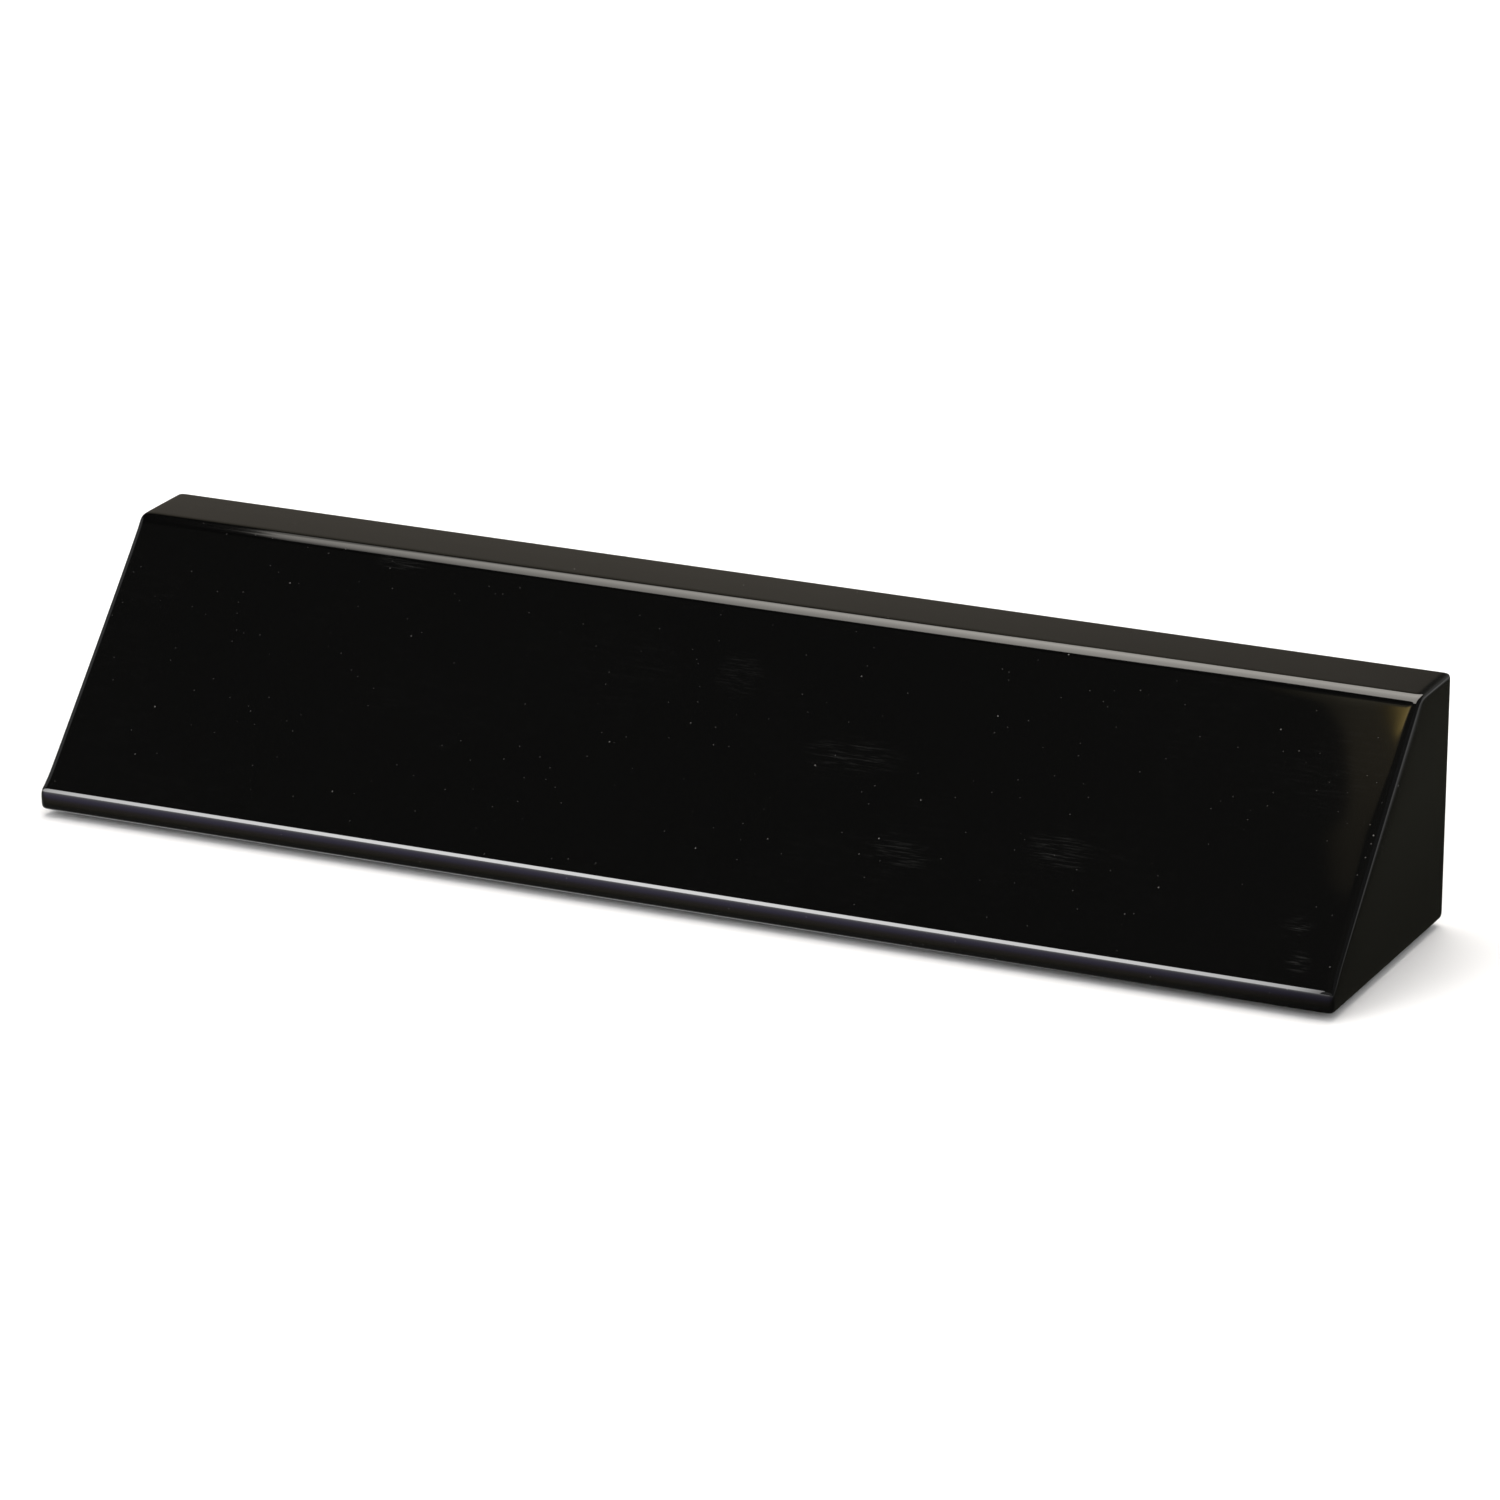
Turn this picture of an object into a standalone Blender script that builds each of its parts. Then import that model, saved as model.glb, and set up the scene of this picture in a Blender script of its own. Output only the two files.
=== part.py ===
"""A desk name-plate wedge: a long block with an upright back, a narrow flat top and a
sloping front face that carries an engraved plate.

The block is three fibreboard planks glued face to face, cut to the wedge, rounded, and
then built up all round with a polished lacquer skin. The skin stops short under the
block, where a felt pad is stuck on.

Frame: +Z up. The origin is on the table, under the middle of the wedge. X runs along
the wedge and -Y is the front.
"""

import math

import bmesh
import bpy
from mathutils import Vector

# Outside of the lacquered block.
LENGTH = 0.2667
HEIGHT = 0.0485
DEPTH = 0.0589
TOP_DEPTH = 0.0167
LIP_HEIGHT = 0.0043

# Rounding of its edges.
EDGE_RADIUS = 0.0011
BROW_RADIUS = 0.0030
LIP_RADIUS = 0.0020
ROUND_STEPS = 5

# Lacquer skin, and how far it wraps under the block.
LACQUER = 0.0005
UNDER_WRAP = 0.0065

# Planks of the core. The lowest one takes up what is left of the height.
PLANK = 0.0156
CORE_EDGE_RADIUS = 0.0004

# Felt pad.
FELT = 0.0008
FELT_INSET = 0.0040
FELT_CORNER = 0.0030
FELT_CORNER_STEPS = 8

# Room between pieces that are glued or coated onto each other.
GAP = 0.0003

# How far a cutter reaches past what it cuts.
PAST = 0.002

# Worked out from the sizes above.
BASE_Z = FELT + GAP
CORE_INSET = LACQUER + GAP


def material(name, color, roughness, coat=0.0):
    """A plain Principled material."""
    mat = bpy.data.materials.new(name)
    mat.use_nodes = True
    shader = mat.node_tree.nodes["Principled BSDF"]
    shader.inputs["Base Color"].default_value = (*color, 1.0)
    shader.inputs["Metallic"].default_value = 0.0
    shader.inputs["Roughness"].default_value = roughness
    shader.inputs["Coat Weight"].default_value = coat
    mat.diffuse_color = (*color, 1.0)
    return mat


def clear_scene():
    """Removes whatever the file holds already."""
    for obj in list(bpy.data.objects):
        bpy.data.objects.remove(obj, do_unlink=True)


def add_object(name, bm, mat=None):
    """Turns a bmesh into a named object of the scene."""
    bmesh.ops.recalc_face_normals(bm, faces=bm.faces)
    mesh = bpy.data.meshes.new(name)
    bm.to_mesh(mesh)
    bm.free()
    obj = bpy.data.objects.new(name, mesh)
    bpy.context.scene.collection.objects.link(obj)
    if mat:
        mesh.materials.append(mat)
    return obj


def as_cutter(obj):
    """Marks an object as a tool that isn't part of the model."""
    obj.hide_render = True
    obj.display_type = "WIRE"
    return obj


def prism(outline, x_low, x_high):
    """A bmesh of an outline in the YZ plane, extruded along X."""
    bm = bmesh.new()
    ring = [bm.verts.new((x_low, y, z)) for y, z in outline]
    cap = bm.faces.new(ring)
    grown = bmesh.ops.extrude_face_region(bm, geom=[cap])
    moved = [v for v in grown["geom"] if isinstance(v, bmesh.types.BMVert)]
    bmesh.ops.translate(bm, vec=(x_high - x_low, 0.0, 0.0), verts=moved)
    return bm


def slab(x_half, y_half, z_low, z_high):
    """A bmesh of a plain box, centred on the Z axis."""
    outline = [(-y_half, z_low), (y_half, z_low), (y_half, z_high), (-y_half, z_high)]
    return prism(outline, -x_half, x_half)


def wedge_outline(inset):
    """Corners (y, z) of the wedge's section, each face moved inwards by inset.

    They run from the front foot up the lip and the slope, then over the top to the
    back foot, so corner 2 is the brow, where the slope meets the top.
    """
    front = -DEPTH / 2
    back = DEPTH / 2
    foot = BASE_Z
    top = BASE_Z + HEIGHT
    lip_top = BASE_Z + LIP_HEIGHT
    slope_run = DEPTH - TOP_DEPTH
    slope_rise = HEIGHT - LIP_HEIGHT
    slant = math.hypot(slope_run, slope_rise)
    # The slope face moves along its normal, so it crosses the lip and the top elsewhere.
    lip_drop = (inset * slant - inset * slope_rise) / slope_run
    top_shift = (inset * slant - inset * slope_run) / slope_rise
    return [
        (front + inset, foot + inset),
        (front + inset, lip_top - lip_drop),
        (back - TOP_DEPTH + top_shift, top - inset),
        (back - inset, top - inset),
        (back - inset, foot + inset),
    ]


def corner_of(point, outline):
    """The index of the outline's corner that a point of the prism lies on."""
    away = [math.hypot(point.y - y, point.z - z) for y, z in outline]
    return away.index(min(away))


def edge_radius(edge, outline, radii):
    """The rounding of one edge of the prism: along X it is its corner's own."""
    start, end = (corner_of(v.co, outline) for v in edge.verts)
    if start == end:
        return radii[start]
    return min(radii)


def wedge(name, inset, radii, mat=None):
    """The wedge with its faces moved inwards by inset, and a radius on each edge."""
    outline = wedge_outline(inset)
    bm = prism(outline, -LENGTH / 2 + inset, LENGTH / 2 - inset)
    weight = bm.edges.layers.float.new("bevel_weight_edge")
    widest = max(radii)
    for edge in bm.edges:
        edge[weight] = edge_radius(edge, outline, radii) / widest
    obj = add_object(name, bm, mat)
    rounding = obj.modifiers.new("rounding", "BEVEL")
    rounding.limit_method = "WEIGHT"
    rounding.offset_type = "OFFSET"
    rounding.width = widest
    rounding.segments = ROUND_STEPS
    rounding.use_clamp_overlap = True
    return obj


def boolean(obj, operation, tool):
    """Adds an exact Boolean."""
    step = obj.modifiers.new(tool.name, "BOOLEAN")
    step.operation = operation
    step.solver = "EXACT"
    step.object = tool
    return obj


def shade_rounded(obj):
    """Shades the rounded edges smooth, and keeps the flats crisp."""
    obj.data.shade_smooth()
    obj.data.set_sharp_from_angle(angle=math.radians(40))


def lacquer_radii(inset):
    """Radii at the outline's five corners, for a face of the skin."""
    outer = [EDGE_RADIUS, LIP_RADIUS, BROW_RADIUS, EDGE_RADIUS, EDGE_RADIUS]
    return [max(radius - inset, CORE_EDGE_RADIUS) for radius in outer]


def make_lacquer_shell():
    """The polished skin: hollow, and open underneath inside its wrapped margin."""
    gloss = material("black_lacquer", (0.0045, 0.0045, 0.0044), 0.05, coat=1.0)
    shell = wedge("lacquer_shell", 0.0, lacquer_radii(0.0), gloss)
    hollow = as_cutter(wedge("shell_hollow", LACQUER, lacquer_radii(LACQUER)))
    window = slab(
        LENGTH / 2 - UNDER_WRAP,
        DEPTH / 2 - UNDER_WRAP,
        BASE_Z - PAST,
        BASE_Z + LACQUER + PAST,
    )
    window = as_cutter(add_object("shell_window", window))
    boolean(shell, "DIFFERENCE", hollow)
    boolean(shell, "DIFFERENCE", window)
    shade_rounded(shell)
    return shell


def plank_levels():
    """The lowest and highest Z of each plank, from the top one down."""
    top = BASE_Z + HEIGHT - CORE_INSET
    floor = BASE_Z + CORE_INSET
    middle_top = top - PLANK - GAP
    lower_top = middle_top - PLANK - GAP
    return {
        "core_plank_upper": (top - PLANK, top),
        "core_plank_middle": (middle_top - PLANK, middle_top),
        "core_plank_lower": (floor, lower_top),
    }


def make_core_plank(name, z_low, z_high, mat):
    """One plank of the core, cut to its own stretch of the wedge."""
    radii = lacquer_radii(CORE_INSET)
    plank = wedge(name, CORE_INSET, radii, mat)
    # The first and last planks keep the wedge's own outer face.
    floor = BASE_Z + CORE_INSET
    ceiling = BASE_Z + HEIGHT - CORE_INSET
    low = z_low if z_low > floor else floor - PAST
    high = z_high if z_high < ceiling else ceiling + PAST
    cut = add_object(f"{name}_cut", slab(LENGTH, DEPTH, low, high))
    boolean(plank, "INTERSECT", as_cutter(cut))
    shade_rounded(plank)
    return plank


def felt_outline():
    """The pad's corners, rounded by quarter circles."""
    x_mid = LENGTH / 2 - FELT_INSET - FELT_CORNER
    y_mid = DEPTH / 2 - FELT_INSET - FELT_CORNER
    centres = [(x_mid, y_mid), (-x_mid, y_mid), (-x_mid, -y_mid), (x_mid, -y_mid)]
    points = []
    for quarter, (x, y) in enumerate(centres):
        for step in range(FELT_CORNER_STEPS + 1):
            angle = math.pi / 2 * (quarter + step / FELT_CORNER_STEPS)
            offset = Vector((math.cos(angle), math.sin(angle))) * FELT_CORNER
            points.append((x + offset.x, y + offset.y))
    return points


def make_felt_base():
    """The felt pad that the wedge stands on."""
    felt = material("black_felt", (0.012, 0.012, 0.013), 0.95)
    bm = bmesh.new()
    sole = bm.faces.new([bm.verts.new((x, y, 0.0)) for x, y in felt_outline()])
    grown = bmesh.ops.extrude_face_region(bm, geom=[sole])
    moved = [v for v in grown["geom"] if isinstance(v, bmesh.types.BMVert)]
    bmesh.ops.translate(bm, vec=(0.0, 0.0, FELT), verts=moved)
    pad = add_object("felt_base", bm, felt)
    shade_rounded(pad)
    return pad


def build():
    """Makes every piece in its place."""
    clear_scene()
    make_lacquer_shell()
    fibreboard = material("fibreboard", (0.30, 0.20, 0.12), 0.85)
    for name, (z_low, z_high) in plank_levels().items():
        make_core_plank(name, z_low, z_high, fibreboard)
    make_felt_base()


build()
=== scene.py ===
import math

import bpy
from mathutils import Matrix, Vector, noise


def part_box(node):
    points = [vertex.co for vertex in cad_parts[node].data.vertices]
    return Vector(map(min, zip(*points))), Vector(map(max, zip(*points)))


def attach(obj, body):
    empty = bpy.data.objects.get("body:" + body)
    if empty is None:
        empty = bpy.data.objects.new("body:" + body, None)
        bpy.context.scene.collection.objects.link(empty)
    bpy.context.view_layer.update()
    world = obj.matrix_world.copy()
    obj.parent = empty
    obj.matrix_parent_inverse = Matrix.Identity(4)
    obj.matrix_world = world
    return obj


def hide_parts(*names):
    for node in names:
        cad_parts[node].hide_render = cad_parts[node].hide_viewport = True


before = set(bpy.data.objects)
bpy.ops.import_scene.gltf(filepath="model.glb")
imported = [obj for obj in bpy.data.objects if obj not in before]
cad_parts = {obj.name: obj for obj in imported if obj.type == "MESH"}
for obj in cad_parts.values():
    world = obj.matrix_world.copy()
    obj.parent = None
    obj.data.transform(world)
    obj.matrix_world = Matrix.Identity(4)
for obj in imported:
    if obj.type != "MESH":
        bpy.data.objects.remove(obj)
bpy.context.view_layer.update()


# ---------------------------------------------------------------------------
# Lacquered block: the fibreboard wedge is rounded over, sprayed with many coats of black
# polyester and buffed to a mirror. Buffing takes a little more off near every edge and
# corner, so the flats roll away before the edge itself turns.
MM = 0.001
LIP_HEIGHT = 4.3 * MM
TOP_DEPTH = 16.7 * MM
SKIN = 0.5 * MM
UNDER_WRAP = 6.5 * MM     # how far the skin wraps under the block
EDGE_HOLD = 1.9 * MM      # how far from a square edge the surface has straightened out
BROW_HOLD = 2.1 * MM      # the same below the edge between top and slope
BROW_HOLD_ABOVE = 3.0 * MM
LIP_HOLD = 0.95 * MM      # the same above the edge between slope and lip
LIP_FLAT = 2.0 * MM       # height at which the rounded lip stands upright
FLAT_START = 6.5 * MM     # where the buffed roll-away ends and the true flat begins
ROLL_AWAY = 0.035 * MM    # how much the buffing has taken off beside the edges
BROW_ROLL = 0.05 * MM     # how much more it has taken off the front of the top
ROUNDNESS = 3             # subdivision levels
SHELL_CREASE = math.radians(50)
SAME_PLACE = 0.005 * MM   # points nearer than this are one point

bpy.ops.object.select_all(action="DESELECT")
low, high = (Vector(corner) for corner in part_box("lacquer_shell"))
bpy.ops.mesh.primitive_cube_add(size=1.0, location=(low + high) / 2, scale=high - low)
block = bpy.context.object
block.name = "lacquered_block"
bpy.ops.object.transform_apply(location=True, rotation=False, scale=True)
bpy.ops.object.mode_set(mode="EDIT")

length = (high - low).x
front, back, foot, top = low.y, high.y, low.z, high.z
brow_y, lip_z = back - TOP_DEPTH, foot + LIP_HEIGHT
slope = Vector((0.0, brow_y - front, top - lip_z))
slope_normal = Vector((0.0, -slope.z, slope.y)).normalized()
up_slope = slope.normalized()

# The slope is sawn off the squared block.
bpy.ops.mesh.select_all(action="SELECT")
bpy.ops.mesh.bisect(
    plane_co=(0.0, front, lip_z), plane_no=slope_normal, use_fill=True, clear_outer=True
)


def score(point, normal):
    """Cuts an edge loop round the piece that is being edited, in a plane through a point."""
    bpy.ops.mesh.select_all(action="SELECT")
    bpy.ops.mesh.bisect(plane_co=point, plane_no=normal, threshold=SAME_PLACE)


def score_along(start, end):
    """Scores the block along a straight line of its side view, from one (y, z) to another."""
    run = Vector((0.0, end[0] - start[0], end[1] - start[1])).normalized()
    score((0.0, *start), (0.0, -run.z, run.y))


def beside_slope(corner_y, corner_z, along):
    """A point of the side view on the slope, so far up it from one of its ends."""
    return corner_y + up_slope.y * along, corner_z + up_slope.z * along


# Loops that hold each edge's rounding, then the loops where the flats begin.
score_along((back - EDGE_HOLD, foot), (back - EDGE_HOLD, top))
score_along((front, foot + LIP_FLAT), (back, foot + EDGE_HOLD))
score_along(beside_slope(brow_y, top, -BROW_HOLD), (back, top - EDGE_HOLD))
score_along((brow_y + BROW_HOLD_ABOVE, foot), (brow_y + BROW_HOLD_ABOVE, top))
score_along((front + EDGE_HOLD, foot), beside_slope(front, lip_z, LIP_HOLD))
score_along((back - FLAT_START, foot), (back - FLAT_START, top))
score_along((front + FLAT_START, foot), ((brow_y + back) / 2, top))
score_along(beside_slope(front, lip_z, FLAT_START), (back, foot + FLAT_START))
score_along(beside_slope(brow_y, top, -FLAT_START), (back, top - FLAT_START))
for inset in (EDGE_HOLD, FLAT_START):
    for side in (-1, 1):
        score((side * (length / 2 - inset), 0.0, 0.0), (1.0, 0.0, 0.0))
bpy.ops.object.mode_set(mode="OBJECT")

# The edges and the loops beside them are taken down a little, as the buffing wheel does.
# Each flat is its outward normal and how far out it lies.
flats = [
    (Vector((1, 0, 0)), length / 2),
    (Vector((-1, 0, 0)), length / 2),
    (Vector((0, 1, 0)), back),
    (Vector((0, -1, 0)), -front),
    (Vector((0, 0, 1)), top),
    (Vector((0, 0, -1)), -foot),
    (slope_normal, slope_normal.dot(Vector((0, front, lip_z)))),
]
for vertex in block.data.vertices:
    gaps = [distance - normal.dot(vertex.co) for normal, distance in flats]
    if sum(gap < EDGE_HOLD + SAME_PLACE for gap in gaps) > 1:
        touched = [flat[0] for flat, gap in zip(flats, gaps) if gap < SAME_PLACE]
        vertex.co -= ROLL_AWAY * sum(touched, Vector())
    if vertex.co.z > top - 2 * ROLL_AWAY and vertex.co.y < brow_y + BROW_HOLD_ABOVE + SAME_PLACE:
        vertex.co.z -= BROW_ROLL

# The skin stops under the block, where the felt covers bare board.
bpy.ops.object.mode_set(mode="EDIT")
bpy.ops.mesh.select_all(action="DESELECT")
bpy.ops.object.mode_set(mode="OBJECT")
for face in block.data.polygons:
    middle = face.center
    face.select = (
        middle.z < foot + SAME_PLACE
        and abs(middle.x) < length / 2 - UNDER_WRAP
        and front + UNDER_WRAP < middle.y < back - UNDER_WRAP
    )
bpy.ops.object.mode_set(mode="EDIT")
bpy.ops.mesh.delete(type="FACE")
bpy.ops.object.mode_set(mode="OBJECT")
rounding = block.modifiers.new("rounding", "SUBSURF")
rounding.levels = rounding.render_levels = ROUNDNESS
rounding.boundary_smooth = "PRESERVE_CORNERS"
bpy.ops.object.modifier_apply(modifier="rounding")
skin = block.modifiers.new("skin", "SOLIDIFY")
skin.thickness = SKIN
skin.offset = -1.0
bpy.ops.object.modifier_apply(modifier="skin")
bpy.ops.object.shade_smooth_by_angle(angle=SHELL_CREASE)


def linear(hex_colour):
    """An sRGB hex colour as linear RGBA."""
    parts = [int(hex_colour[i : i + 2], 16) / 255 for i in (1, 3, 5)]
    return [c / 12.92 if c <= 0.04045 else ((c + 0.055) / 1.055) ** 2.4 for c in parts] + [1.0]


def add_node(material, kind, settings=None, values=None, links=None):
    """Adds a shader node: its settings, its sockets' values, and what feeds them."""
    node = material.node_tree.nodes.new(kind)
    for name, value in (settings or {}).items():
        setattr(node, name, value)
    for socket, value in (values or {}).items():
        node.inputs[socket].default_value = value
    for socket, source in (links or {}).items():
        material.node_tree.links.new(source, node.inputs[socket])
    return node


def new_material(name):
    """A material with no shader yet, and the Object coordinates to put its patterns on."""
    material = bpy.data.materials.new(name)
    material.use_nodes = True
    material.node_tree.nodes.clear()
    return material, add_node(material, "ShaderNodeTexCoord").outputs["Object"]


# Polyester lacquer over black: a clear, hard, glassy surface with nothing under it but
# black, so what shows is what it mirrors, then dust nibs, rub marks and buffing hairlines.
lacquer, on_block = new_material("polyester_lacquer_buffed_black")
LACQUER_IOR = 1.52
POLISHED, DULLED = 0.045, 0.40    # roughness of the buffed surface and of a speck on it
BUFFING_WAVE = 9 * MM     # length of the soft waves that the buffing wheel leaves
WAVE_HEIGHT = 0.05 * MM
SPECK_RELIEF = 0.25       # a speck's height, as a share of the waves'
HAIRLINE = 0.30 * MM      # spacing of the hairlines, drawn coarser than real to show at all
HAIRLINE_RUN = 5 * MM
HAIRLINE_TURN = (0.0, math.radians(16), math.radians(-9))
CLOUD = 26 * MM           # size of the patches where hairlines are denser
CLOUD_HAZE = 0.2          # how strong the hairlines are there, and none elsewhere
NIB_SPACING = 5.2 * MM    # dust nibs, and finer dust between them
DUST_SPACING = 2.3 * MM
DUST_STRENGTH = 0.55
FLECK_SPACING = 1.5 * MM  # crumbs of buffing compound by the right end

waves = add_node(
    lacquer, "ShaderNodeTexNoise",
    values={"Scale": 1 / BUFFING_WAVE, "Detail": 1.0, "Roughness": 0.4},
    links={"Vector": on_block},
)
along_block = add_node(
    lacquer, "ShaderNodeMapping",
    values={
        "Rotation": HAIRLINE_TURN,
        "Scale": (1 / HAIRLINE_RUN, 1 / HAIRLINE, 1 / HAIRLINE),
    },
    links={"Vector": on_block},
)
hairlines = add_node(
    lacquer, "ShaderNodeTexNoise",
    values={"Scale": 1.0, "Detail": 3.0, "Roughness": 0.6},
    links={"Vector": along_block.outputs["Vector"]},
)
thin_lines = add_node(
    lacquer, "ShaderNodeMapRange",
    values={"From Min": 0.52, "From Max": 0.72},
    links={"Value": hairlines.outputs["Fac"]},
)
clouds = add_node(
    lacquer, "ShaderNodeTexNoise",
    values={"Scale": 1 / CLOUD, "Detail": 3.0, "Roughness": 0.55, "Distortion": 0.6},
    links={"Vector": on_block},
)
cloudy = add_node(
    lacquer, "ShaderNodeMapRange",
    values={"From Min": 0.50, "From Max": 0.80, "To Max": CLOUD_HAZE},
    links={"Value": clouds.outputs["Fac"]},
)


def mark_at(centre, reach, strength):
    """A soft round patch of the block, as a mask that is strongest at its centre."""
    spread = add_node(
        lacquer, "ShaderNodeMapping",
        values={
            "Location": [-c / r for c, r in zip(centre, reach)],
            "Scale": [1 / r for r in reach],
        },
        links={"Vector": on_block},
    )
    away = add_node(
        lacquer, "ShaderNodeVectorMath", {"operation": "LENGTH"},
        links={0: spread.outputs["Vector"]},
    )
    mask = add_node(
        lacquer, "ShaderNodeMapRange", {"interpolation_type": "SMOOTHSTEP"},
        {"From Min": 1.0, "From Max": 0.2, "To Min": 0.0, "To Max": strength},
        {"Value": away.outputs["Value"]},
    )
    return mask.outputs["Result"]


# Rub marks, where the block has been handled and wiped: (centre, reach, strength) in mm.
rubbed = cloudy.outputs["Result"]
for centre, reach, strength in (
    ((1, 2, 38), (6, 6, 6), 0.6),
    ((28, -7, 29), (13, 5, 5), 0.6),
    ((43, -20, 16), (9, 4, 4), 0.8),
    ((74, -16, 20), (9, 6, 6), 0.7),
    ((123, -21, 14), (4, 4, 4), 1.0),
    ((125, -26, 9), (3, 3, 3), 1.0),
    ((-75, 11, 48), (7, 3, 3), 0.8),
):
    mark = mark_at([c * MM for c in centre], [r * MM for r in reach], strength)
    rubbed = add_node(
        lacquer, "ShaderNodeMath", {"operation": "MAXIMUM"}, links={0: rubbed, 1: mark}
    ).outputs["Value"]
haze = add_node(
    lacquer, "ShaderNodeMath", {"operation": "MULTIPLY"},
    links={0: rubbed, 1: thin_lines.outputs["Result"]},
)


def dots(spacing, radius, fade):
    """Scattered round dots, as a mask. The sizes are in metres."""
    cells = add_node(
        lacquer, "ShaderNodeTexVoronoi",
        values={"Scale": 1 / spacing}, links={"Vector": on_block},
    )
    mask = add_node(
        lacquer, "ShaderNodeMapRange",
        values={
            "From Min": (radius + fade) / spacing, "From Max": radius / spacing,
            "To Min": 0.0, "To Max": 1.0,
        },
        links={"Value": cells.outputs["Distance"]},
    )
    return mask.outputs["Result"]


nibs = dots(NIB_SPACING, 0.07 * MM, 0.13 * MM)
dust = add_node(
    lacquer, "ShaderNodeMath", {"operation": "MULTIPLY"}, {1: DUST_STRENGTH},
    {0: dots(DUST_SPACING, 0.05 * MM, 0.09 * MM)},
).outputs["Value"]
flecks = add_node(
    lacquer, "ShaderNodeMath", {"operation": "MULTIPLY"},
    links={
        0: dots(FLECK_SPACING, 0.09 * MM, 0.12 * MM),
        1: mark_at([131.5 * MM, -7 * MM, 28 * MM], [2.5 * MM, 8 * MM, 9 * MM], 1.0),
    },
).outputs["Value"]
specks = nibs
for more in (dust, flecks):
    specks = add_node(
        lacquer, "ShaderNodeMath", {"operation": "MAXIMUM"}, links={0: specks, 1: more}
    ).outputs["Value"]

hazed = add_node(
    lacquer, "ShaderNodeMix", {"data_type": "RGBA"},
    {6: linear("#060606"), 7: linear("#262625")}, {0: haze.outputs["Value"]},
)
dusted = add_node(
    lacquer, "ShaderNodeMix", {"data_type": "RGBA"},
    {7: linear("#504f4d")}, {0: specks, 6: hazed.outputs[2]},
)
dulled = add_node(
    lacquer, "ShaderNodeMapRange",
    values={"From Max": 1.0, "To Min": POLISHED, "To Max": DULLED},
    links={"Value": specks},
)
relief = add_node(
    lacquer, "ShaderNodeMath", {"operation": "MULTIPLY_ADD"}, {1: SPECK_RELIEF},
    {0: specks, 2: waves.outputs["Fac"]},
)
waviness = add_node(
    lacquer, "ShaderNodeBump",
    values={"Strength": 0.05, "Distance": WAVE_HEIGHT},
    links={"Height": relief.outputs["Value"]},
)
shader = add_node(
    lacquer, "ShaderNodeBsdfPrincipled",
    values={"IOR": LACQUER_IOR},
    links={
        "Base Color": dusted.outputs[2],
        "Roughness": dulled.outputs["Result"],
        "Normal": waviness.outputs["Normal"],
    },
)
add_node(lacquer, "ShaderNodeOutputMaterial", links={"Surface": shader.outputs["BSDF"]})
block.data.materials.append(lacquer)
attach(block, "root")
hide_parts("lacquer_shell")


# ---------------------------------------------------------------------------
# Core planks: three lengths of medium-density fibreboard glued face to face, then sawn and
# sanded to the wedge. Each board is pressed denser and darker towards its two faces.
FIBRE = 0.7 * MM          # drawn coarser than real to show
FLOCK = 9 * MM            # soft patches of lighter and darker fibre
FLOCK_STRENGTH = 0.45
FIBRE_NAP = 0.08 * MM     # how far the sanded fibres stand up
BOARD_SKIN = 0.72         # share of the half thickness where the darker skin begins
BOARD_SKIN_STRENGTH = 0.45


def set_ramp(node, stops):
    """Gives a colour ramp its stops: (position, RGBA)."""
    ramp = node.color_ramp
    while len(ramp.elements) > 1:
        ramp.elements.remove(ramp.elements[-1])
    ramp.elements[0].position, ramp.elements[0].color = stops[0]
    for position, colour in stops[1:]:
        ramp.elements.new(position).color = colour


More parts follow.
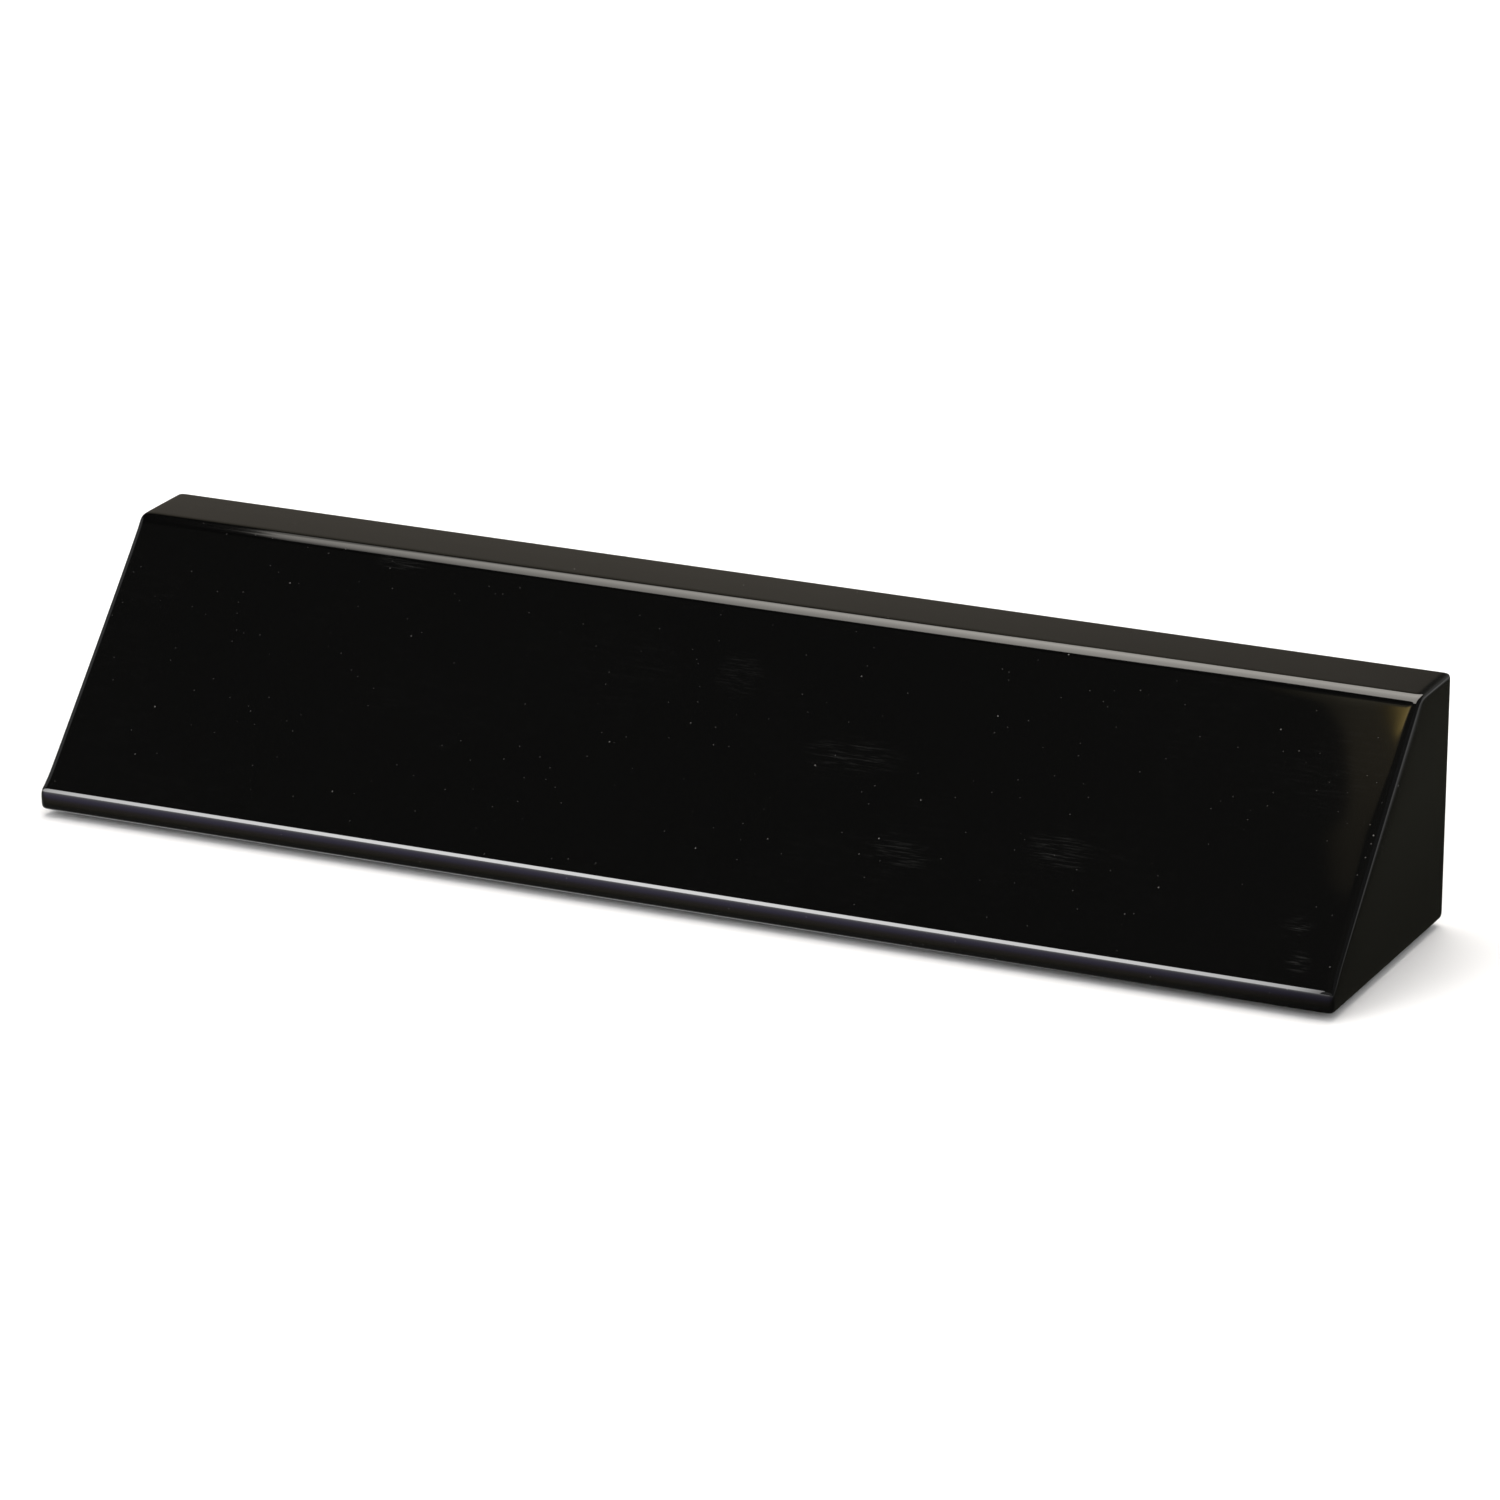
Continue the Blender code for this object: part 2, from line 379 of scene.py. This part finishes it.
for name in ("core_plank_upper", "core_plank_middle", "core_plank_lower"):
    board, on_board = new_material(name.replace("core_plank", "fibreboard_sawn_and_sanded"))
    lowest, highest = (corner[2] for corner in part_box(name))
    fibres = add_node(
        board, "ShaderNodeTexNoise",
        values={"Scale": 1 / FIBRE, "Detail": 6.0, "Roughness": 0.7, "Distortion": 0.8},
        links={"Vector": on_board},
    )
    flocks = add_node(
        board, "ShaderNodeTexNoise",
        values={"Scale": 1 / FLOCK, "Detail": 2.0},
        links={"Vector": on_board},
    )
    mixed = add_node(
        board, "ShaderNodeMath", {"operation": "MULTIPLY_ADD"}, {1: FLOCK_STRENGTH},
        {0: flocks.outputs["Fac"], 2: fibres.outputs["Fac"]},
    )
    tint = add_node(board, "ShaderNodeValToRGB", links={"Fac": mixed.outputs["Value"]})
    set_ramp(
        tint,
        [(0.45, linear("#7d6043")), (0.68, linear("#a9875f")), (0.95, linear("#cbb08a"))],
    )
    split = add_node(board, "ShaderNodeSeparateXYZ", links={"Vector": on_board})
    depth_in = add_node(
        board, "ShaderNodeMapRange",
        values={"From Min": lowest, "From Max": highest, "To Min": -1.0, "To Max": 1.0},
        links={"Value": split.outputs["Z"]},
    )
    from_middle = add_node(
        board, "ShaderNodeMath", {"operation": "ABSOLUTE"}, links={0: depth_in.outputs["Result"]}
    )
    dark_skin = add_node(
        board, "ShaderNodeMapRange",
        values={"From Min": BOARD_SKIN, "From Max": 1.0, "To Max": BOARD_SKIN_STRENGTH},
        links={"Value": from_middle.outputs["Value"]},
    )
    pressed = add_node(
        board, "ShaderNodeMix", {"data_type": "RGBA"},
        {7: linear("#5f452c")}, {0: dark_skin.outputs["Result"], 6: tint.outputs["Color"]},
    )
    nap = add_node(
        board, "ShaderNodeBump",
        values={"Strength": 0.4, "Distance": FIBRE_NAP},
        links={"Height": fibres.outputs["Fac"]},
    )
    shader = add_node(
        board, "ShaderNodeBsdfPrincipled",
        values={"Roughness": 0.85},
        links={"Base Color": pressed.outputs[2], "Normal": nap.outputs["Normal"]},
    )
    add_node(board, "ShaderNodeOutputMaterial", links={"Surface": shader.outputs["BSDF"]})
    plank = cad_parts[name]
    plank.data.materials.clear()
    plank.data.materials.append(board)


# ---------------------------------------------------------------------------
# Felt pad: black wool felt, pressed, die-cut with rounded corners and stuck under the
# block. Its cut edge is soft, and its faces are a little uneven.
FELT_CORNER = 3 * MM
FELT_CORNER_STEPS = 8
FELT_RIM = 0.18 * MM      # rounding of the cut edge
FELT_RIM_STEPS = 2
FELT_CELL = 2 * MM        # spacing of the points that make it uneven
UNEVEN = 0.05 * MM
LUMP_SEED = 1             # noise_vector follows the clock without one
FELT_CREASE = math.radians(60)
TUFT = 2.6 * MM           # size of its lumps
TUFT_STRENGTH = 0.5
WOOL = 0.25 * MM          # fibre tangle, drawn coarser than wool's 0.03 mm to show
WOOL_NAP = 0.12 * MM

bpy.ops.object.select_all(action="DESELECT")
low, high = (Vector(corner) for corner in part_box("felt_base"))
bpy.ops.mesh.primitive_cube_add(size=1.0, location=(low + high) / 2, scale=high - low)
pad = bpy.context.object
pad.name = "felt_pad"
bpy.ops.object.transform_apply(location=True, rotation=False, scale=True)
bpy.ops.object.mode_set(mode="EDIT")
bpy.ops.mesh.select_mode(type="EDGE")
bpy.ops.object.mode_set(mode="OBJECT")


def edit_edges(upright):
    """Starts editing the pad, with its upright edges selected, or else its level ones."""
    for edge in pad.data.edges:
        ends = [pad.data.vertices[i].co for i in edge.vertices]
        edge.select = (abs(ends[0].z - ends[1].z) > SAME_PLACE) == upright
    bpy.ops.object.mode_set(mode="EDIT")


edit_edges(upright=True)
bpy.ops.mesh.bevel(offset=FELT_CORNER, segments=FELT_CORNER_STEPS)
bpy.ops.object.mode_set(mode="OBJECT")
edit_edges(upright=False)
bpy.ops.mesh.bevel(offset=FELT_RIM, segments=FELT_RIM_STEPS)
for axis in (0, 1):
    reach = high[axis] - FELT_CORNER
    steps = round(2 * reach / FELT_CELL)
    across = Vector((1 - axis, axis, 0))
    for step in range(steps + 1):
        score(across * (2 * reach * step / steps - reach), across)
bpy.ops.object.mode_set(mode="OBJECT")
noise.seed_set(LUMP_SEED)
for vertex in pad.data.vertices:
    vertex.co += UNEVEN * noise.noise_vector(vertex.co / TUFT)
    vertex.co.z = min(max(vertex.co.z, low.z), high.z + UNEVEN)
bpy.ops.object.shade_smooth_by_angle(angle=FELT_CREASE)

# Wool felt: no gloss at all, a tangle of fibres that catches a little light at a slant.
felt, on_pad = new_material("felt_pressed_black_wool")
tangle = add_node(
    felt, "ShaderNodeTexNoise",
    values={"Scale": 1 / WOOL, "Detail": 5.0, "Roughness": 0.75, "Distortion": 2.0},
    links={"Vector": on_pad},
)
tufts = add_node(
    felt, "ShaderNodeTexNoise", values={"Scale": 1 / TUFT, "Detail": 2.0}, links={"Vector": on_pad}
)
mixed = add_node(
    felt, "ShaderNodeMath", {"operation": "MULTIPLY_ADD"}, {1: TUFT_STRENGTH},
    {0: tufts.outputs["Fac"], 2: tangle.outputs["Fac"]},
)
tint = add_node(felt, "ShaderNodeValToRGB", links={"Fac": mixed.outputs["Value"]})
set_ramp(
    tint,
    [(0.45, linear("#0e0e10")), (0.75, linear("#1c1c1f")), (1.0, linear("#3a3a3e"))],
)
nap = add_node(
    felt, "ShaderNodeBump",
    values={"Strength": 0.8, "Distance": WOOL_NAP},
    links={"Height": tangle.outputs["Fac"]},
)
shader = add_node(
    felt, "ShaderNodeBsdfPrincipled",
    values={
        "Roughness": 1.0, "Specular IOR Level": 0.15,
        "Sheen Weight": 0.35, "Sheen Roughness": 0.6, "Sheen Tint": linear("#8a8a90"),
    },
    links={"Base Color": tint.outputs["Color"], "Normal": nap.outputs["Normal"]},
)
add_node(felt, "ShaderNodeOutputMaterial", links={"Surface": shader.outputs["BSDF"]})
pad.data.materials.append(felt)
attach(pad, "root")
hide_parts("felt_base")


# ---------------------------------------------------------------------------
# Table: a wide sheet of matt white paper, a hair below the felt that lies on it. The
# lacquer doesn't mirror it: what it mirrors are the cards of the next section.
TABLE_REACH = 30.0
TABLE_CORNERS = 96
TABLE_DROP = 0.1 * MM

bpy.ops.object.select_all(action="DESELECT")
bpy.ops.mesh.primitive_circle_add(
    vertices=TABLE_CORNERS, radius=TABLE_REACH, fill_type="NGON", location=(0, 0, -TABLE_DROP)
)
table = bpy.context.object
table.name = "table"
paper = new_material("paper_matt_white")[0]
shader = add_node(
    paper, "ShaderNodeBsdfPrincipled",
    values={"Base Color": (0.85, 0.85, 0.85, 1.0), "Roughness": 1.0, "Specular IOR Level": 0.0},
)
add_node(paper, "ShaderNodeOutputMaterial", links={"Surface": shader.outputs["BSDF"]})
table.data.materials.append(paper)
table.visible_glossy = False


# ---------------------------------------------------------------------------
# Surroundings: a gloss black block shows little but what it mirrors. So the room is a set
# of dim and bright cards that only show in the gloss, each tinted along its length or
# depth, and two lamps that gloss doesn't mirror light the table and the felt.
RIGHT, LEFT = (1, 0, 0), (-1, 0, 0)
FORWARD, BACKWARD = (0, -1, 0), (0, 1, 0)
UP = (0, 0, 1)


def level(outline, z):
    """Corners of a level card: an outline of (x, y) at a height."""
    return [(x, y, z) for x, y in outline]


def upright(start, end, bottom, top):
    """Corners of an upright card that stands between two points (x, y)."""
    return [(*start, bottom), (*end, bottom), (*end, top), (*start, top)]


def grey(value):
    """A neutral tone."""
    return (value, value, value)


def warm(value):
    """A slightly warm white, so bright."""
    return (value, 0.96 * value, 0.89 * value)


def add_card(name, corners, strength, *ramps):
    """A card that only shows in the gloss. Each ramp (direction, stops) tints it along a
    direction, with stops (metres along it, colour), and the ramps are multiplied."""
    mesh = bpy.data.meshes.new(name)
    mesh.from_pydata(corners, [], [range(len(corners))])
    card = bpy.data.objects.new(name, mesh)
    bpy.context.scene.collection.objects.link(card)
    glow, on_card = new_material(name)
    light = None
    for direction, stops in ramps:
        along = add_node(
            glow, "ShaderNodeVectorMath", {"operation": "DOT_PRODUCT"},
            {1: direction}, {0: on_card},
        )
        start, end = stops[0][0], stops[-1][0]
        part = add_node(
            glow, "ShaderNodeMapRange",
            values={"From Min": start, "From Max": end},
            links={"Value": along.outputs["Value"]},
        )
        ramp = add_node(glow, "ShaderNodeValToRGB", links={"Fac": part.outputs["Result"]})
        set_ramp(ramp, [((at - start) / (end - start), (*tint, 1.0)) for at, tint in stops])
        if light is None:
            light = ramp.outputs["Color"]
        else:
            light = add_node(
                glow, "ShaderNodeMix", {"data_type": "RGBA", "blend_type": "MULTIPLY"},
                {0: 1.0}, {6: light, 7: ramp.outputs["Color"]},
            ).outputs[2]
    emission = add_node(
        glow, "ShaderNodeEmission", values={"Strength": strength}, links={"Color": light}
    )
    add_node(glow, "ShaderNodeOutputMaterial", links={"Surface": emission.outputs["Emission"]})
    mesh.materials.append(glow)
    card.visible_camera = False
    card.visible_diffuse = False
    card.visible_shadow = False
    card.visible_transmission = False


def add_lamp(name, place, turn, width, depth, brightness, colour):
    """A rectangular lamp that gloss doesn't mirror. Its power goes with its size."""
    bpy.ops.object.light_add(type="AREA", location=place, rotation=turn)
    lamp = bpy.context.object
    lamp.name = name
    lamp.data.shape = "RECTANGLE"
    lamp.data.size = width
    lamp.data.size_y = depth
    lamp.data.energy = brightness * math.pi * width * depth
    lamp.data.color = colour
    lamp.visible_camera = False
    lamp.visible_glossy = False


# Behind, for the top face.
add_card(
    "back_card",
    upright((-3.0, 2.2), (3.0, 2.2), 0.0, 1.3),
    1.0,
    (
        RIGHT,
        [
            (-1.30, (0.200, 0.181, 0.152)),
            (-0.97, (0.193, 0.175, 0.147)),
            (-0.78, (0.167, 0.151, 0.127)),
            (-0.68, (0.153, 0.139, 0.116)),
            (-0.61, (0.125, 0.115, 0.096)),
            (-0.54, (0.055, 0.052, 0.045)),
            (-0.35, (0.050, 0.050, 0.045)),
            (0.40, (0.20, 0.20, 0.19)),
            (1.50, (0.30, 0.30, 0.29)),
        ],
    ),
    (UP, [(0.90, grey(1.0)), (1.05, (0.75, 0.75, 0.70)), (1.25, (0.40, 0.40, 0.35))]),
)

# The floor as the gloss mirrors it, in four cards: two ahead of the line of the block's
# front face and two behind it. The front one brightens away from the block: its dim band
# next to the block is painted shade, the block's shadow on the floor.
FLOOR_Z = -0.002
FRONT_LINE = -0.03
LEFT_BORDER = [(-0.135, FRONT_LINE), (-0.30, -0.24), (-2.2, -2.5)]
add_card(
    "floor_card_front",
    level([*LEFT_BORDER, (2.0, -2.5), (2.0, FRONT_LINE)], FLOOR_Z),
    3.0,
    (
        FORWARD,
        [
            # dark next to the block: painted shade, the block's shadow on the floor in front of it
            (0.030, (0.032, 0.032, 0.030)),
            (0.033, (0.043, 0.043, 0.040)),
            (0.038, (0.045, 0.042, 0.034)),
            (0.041, (0.075, 0.068, 0.048)),
            (0.044, (0.105, 0.090, 0.085)),
            (0.048, (0.17, 0.155, 0.25)),
            (0.058, (0.27, 0.25, 0.36)),
            (0.090, (0.50, 0.49, 0.55)),
            (0.170, grey(1.0)),
        ],
    ),
    (
        RIGHT,
        [
            (0.02, grey(1.0)),
            (0.10, grey(0.8)),
            (0.135, grey(0.25)),
            (0.17, grey(0.25)),
            (0.35, grey(0.7)),
        ],
    ),
)
add_card(
    "floor_card_right",
    level([(0.02, FRONT_LINE), (2.5, FRONT_LINE), (2.5, 2.5), (0.02, 2.5)], FLOOR_Z),
    1.0,
    (
        RIGHT,
        [
            (0.02, grey(0.90)),
            (0.115, (0.034, 0.033, 0.026)),
            (0.145, (0.040, 0.039, 0.030)),
            (0.165, (0.056, 0.055, 0.042)),
            (0.21, (0.053, 0.052, 0.040)),
            (0.40, grey(0.70)),
        ],
    ),
)
add_card(
    "floor_card_left",
    level([(-2.5, FRONT_LINE), (0.02, FRONT_LINE), (0.02, 2.5), (-2.5, 2.5)], FLOOR_Z),
    1.0,
    (LEFT, [(-0.02, grey(0.90)), (0.50, grey(1.1))]),
)
add_card(
    "floor_card_far_left",
    level([(-2.5, FRONT_LINE), (-2.5, -2.5), *reversed(LEFT_BORDER)], FLOOR_Z),
    1.0,
    (LEFT, [(0.135, grey(0.30)), (0.60, grey(1.0))]),
)

# Walls round the room, for the views from the other sides. They lighten upwards.
LIGHTEST_AT = 1.3
for name, corners, low_tone, high_tone in (
    ("right_wall_card", upright((2.4, -2.4), (2.4, 2.1), 0, 3), 0.09, 0.11),
    ("left_wall_card", upright((-2.7, -1.2), (-2.7, 2.1), 0, 1.3), 0.16, 0.35),
    ("front_wall_card", upright((-1.6, -2.6), (2.4, -2.6), 0, 1.4), 0.20, 0.50),
):
    add_card(name, corners, 1.0, (UP, [(0.0, grey(low_tone)), (LIGHTEST_AT, grey(high_tone))]))

# Overhead softbox, ahead and behind: its front edge draws the bright line along the brow.
# It brightens from its left side to the right, and dims towards its far end.
OVERHEAD_Z = 1.5
add_card(
    "overhead_card",
    level(
        [
            (-0.825, -0.22), (-0.62, -0.275), (-0.55, -0.25), (-0.47, -0.20), (-0.40, -0.08),
            (-0.37, -0.16), (-0.20, -0.26), (0.0, -0.42), (0.55, -0.45), (0.30, 3.3),
            (-1.10, 3.3), (-0.98, 2.15), (-1.36, 2.1), (-1.20, 1.69), (-1.03, 1.18),
            (-0.92, 0.80), (-0.85, 0.45), (-0.825, 0.0),
        ],
        OVERHEAD_Z,
    ),
    5.0,
    (
        (1.0, 0.17, 0),
        [
            (-0.95, warm(0.20)),
            (-0.83, warm(0.25)),
            (-0.803, warm(0.40)),
            (-0.77, warm(0.56)),
            (-0.70, warm(0.68)),
            (-0.588, warm(0.82)),
            (-0.46, warm(0.98)),
            (-0.35, warm(0.94)),
            (-0.20, warm(1.0)),
        ],
    ),
    (
        BACKWARD,
        [
            (0.4, grey(1.0)),
            (1.1, grey(0.90)),
            (1.8, grey(0.62)),
            (2.1, grey(0.52)),
            (2.6, grey(0.52)),
            (3.3, grey(0.35)),
        ],
    ),
)
add_lamp(
    "overhead_lamp", (-0.2, 0.9, OVERHEAD_Z), (0, 0, 0),
    width=1.3, depth=2.3, brightness=3.0, colour=(1.0, 0.95, 0.90),
)

# The dim ceiling in front of it, over the slope.
add_card(
    "ceiling_card",
    level([(-2.6, -3.0), (2.6, -3.0), (2.6, -0.5), (-2.6, -0.5)], 1.7),
    1.0,
    (RIGHT, [(-0.7, (0.030, 0.030, 0.027)), (0.0, (0.060, 0.058, 0.050))]),
)
# A pale panel on the left, seen as a thin line along the left end of the slope.
add_card(
    "left_card",
    upright((-1.2, -0.7), (-1.2, 0.35), 0.35, 1.25),
    1.0,
    (UP, [(0.35, grey(0.12)), (0.8, grey(0.55))]),
)

# A warm wooden thing near by, mirrored at the right end of the slope, and a lamp on it.
WARM_Z = 0.5
add_card(
    "warm_card",
    level(
        [
            (-0.066, -0.150), (-0.066, -0.160), (-0.052, -0.166), (-0.0462, -0.177),
            (-0.0440, -0.191), (-0.0447, -0.2005), (-0.0503, -0.2068), (-0.0485, -0.2200),
            (-0.0440, -0.2215), (-0.038, -0.2215), (-0.037, -0.2042), (-0.028, -0.193),
            (0.05, -0.182), (0.05, -0.150),
        ],
        WARM_Z,
    ),
    1.45,
    (
        FORWARD,
        [
            (0.150, (0.32, 0.29, 0.20)),
            (0.160, (0.24, 0.215, 0.15)),
            (0.168, (0.16, 0.14, 0.095)),
            (0.185, (0.17, 0.145, 0.095)),
            (0.2215, (0.085, 0.075, 0.055)),
        ],
    ),
    (RIGHT, [(-0.066, grey(0.15)), (-0.050, grey(0.6)), (-0.044, grey(1.0))]),
)
add_card(
    "warm_spot",
    level(
        [
            (-0.035, -0.158), (-0.035, -0.168), (-0.031, -0.176), (0.0, -0.178),
            (0.04, -0.172), (0.04, -0.158),
        ],
        WARM_Z - 0.002,
    ),
    1.0,
    (
        RIGHT,
        [
            (-0.035, (0.15, 0.12, 0.07)),
            (-0.0315, (0.55, 0.42, 0.16)),
            (-0.029, (2.0, 1.45, 0.45)),
            (0.0, (2.8, 2.1, 0.80)),
            (0.04, (1.0, 0.75, 0.35)),
        ],
    ),
)

# A thin strip light lying close in front: it draws the line along the rounded lip. Lying
# so low and so near, it stays out of most of the slope and the top.
STRIP_LEFT, STRIP_RIGHT, STRIP_Y = -0.160, 0.1255, -0.0445
STRIP_BOTTOM, STRIP_TOP = 0.0048, 0.0179
add_card(
    "strip_card",
    upright((STRIP_LEFT, STRIP_Y), (STRIP_RIGHT, STRIP_Y), STRIP_BOTTOM, STRIP_TOP),
    15.0,
    (
        RIGHT,
        [
            (STRIP_LEFT, grey(0.30)),
            (-0.142, grey(0.52)),
            (-0.135, grey(0.72)),
            (-0.117, grey(0.86)),
            (-0.079, grey(0.98)),
            (0.004, grey(1.0)),
            (0.054, grey(0.92)),
            (0.092, grey(0.84)),
            (0.110, grey(0.70)),
            (0.120, grey(0.60)),
            (STRIP_RIGHT, grey(0.25)),
        ],
    ),
)

# A soft lamp that faces the block from ahead of its left end.
FRONT_LAMP = Vector((-1.2, -2.1, 0.95))
FRONT_LAMP_AIM = Vector((-0.05, 0.0, 0.2))
add_lamp(
    "front_lamp", FRONT_LAMP, (FRONT_LAMP_AIM - FRONT_LAMP).to_track_quat("-Z", "Y").to_euler(),
    width=1.0, depth=1.6, brightness=4.0, colour=(1.0, 1.0, 1.0),
)

# Room light: even and pale, and not mirrored.
ROOM_LIGHT = 0.9
world = bpy.data.worlds.new("room")
bpy.context.scene.world = world
world.use_nodes = True
world.node_tree.nodes["Background"].inputs["Color"].default_value = (1.0, 1.0, 1.0, 1.0)
world.node_tree.nodes["Background"].inputs["Strength"].default_value = ROOM_LIGHT
world.cycles_visibility.glossy = False
bpy.context.scene.view_settings.view_transform = "Standard"


# ---------------------------------------------------------------------------
# Camera: a long lens, to the right of the wedge and above it.
CAMERA_AZIMUTH = math.radians(24.13)
CAMERA_ELEVATION = math.radians(18.47)
CAMERA_ROLL = math.radians(0.505)
CAMERA_DISTANCE = 1.565
CAMERA_AIM = Vector((0.00398, 0.0, 0.02438))

facing = (
    Matrix.Rotation(CAMERA_AZIMUTH, 3, "Z")
    @ Matrix.Rotation(math.pi / 2 - CAMERA_ELEVATION, 3, "X")
    @ Matrix.Rotation(CAMERA_ROLL, 3, "Z")
)
bpy.ops.object.camera_add(
    location=CAMERA_AIM + facing @ Vector((0, 0, CAMERA_DISTANCE)), rotation=facing.to_euler()
)
camera = bpy.context.object
camera.data.sensor_width = 36.0
camera.data.lens = 198.4
camera.data.clip_start = 0.05
camera.data.clip_end = 100.0
bpy.context.scene.camera = camera
